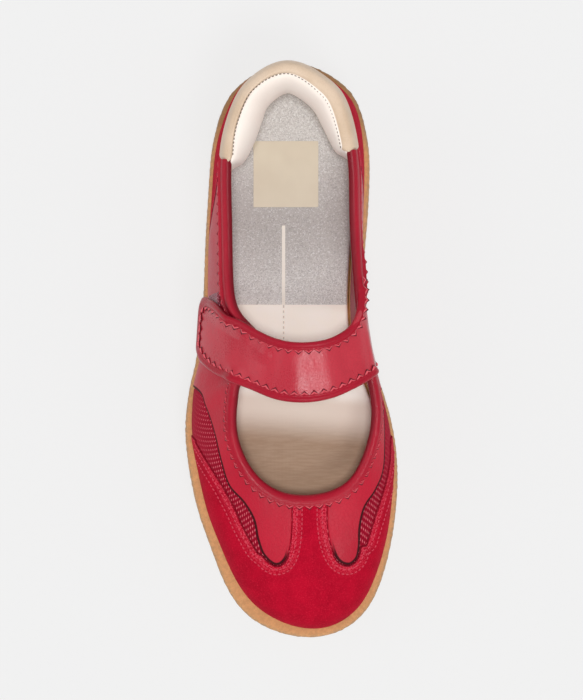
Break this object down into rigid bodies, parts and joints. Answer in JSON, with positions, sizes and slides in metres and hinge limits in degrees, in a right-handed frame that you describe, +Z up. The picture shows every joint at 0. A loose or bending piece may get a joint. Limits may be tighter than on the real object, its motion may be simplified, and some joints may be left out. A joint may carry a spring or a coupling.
{
  "type": "strap sneaker",
  "caption": "Low strap sneaker with a gum cupsole, a suede T-shaped toe cap, lobed leather side panels, pinked edges and a padded beige heel tab.",
  "frame": {"origin": "centre of the bounding box's bottom face, on the floor", "axes": "+Z up, toe along -Y, heel along +Y, the shoe's inner (medial) side at +X and its outer side at -X"},
  "size_m": [0.0972, 0.262, 0.0805],
  "materials": {
    "gum_rubber": "matte",
    "red_suede": "napped",
    "red_leather": "satin",
    "red_textile": "woven",
    "beige_leather": "satin",
    "footbed": "soft",
    "fastener_pile": "pile"
  },
  "bodies": {
    "root": {"outsole": "gum_rubber", "insole": "footbed", "upper": "red_textile", "toe_cap": "red_suede", "quarter_lateral": "red_leather", "quarter_medial": "red_leather", "heel_counter": "red_suede", "heel_tab": "beige_leather", "topline_binding": "red_leather", "fastener_patch": "fastener_pile", "strap": "red_leather"}
  },
  "joints": []
}
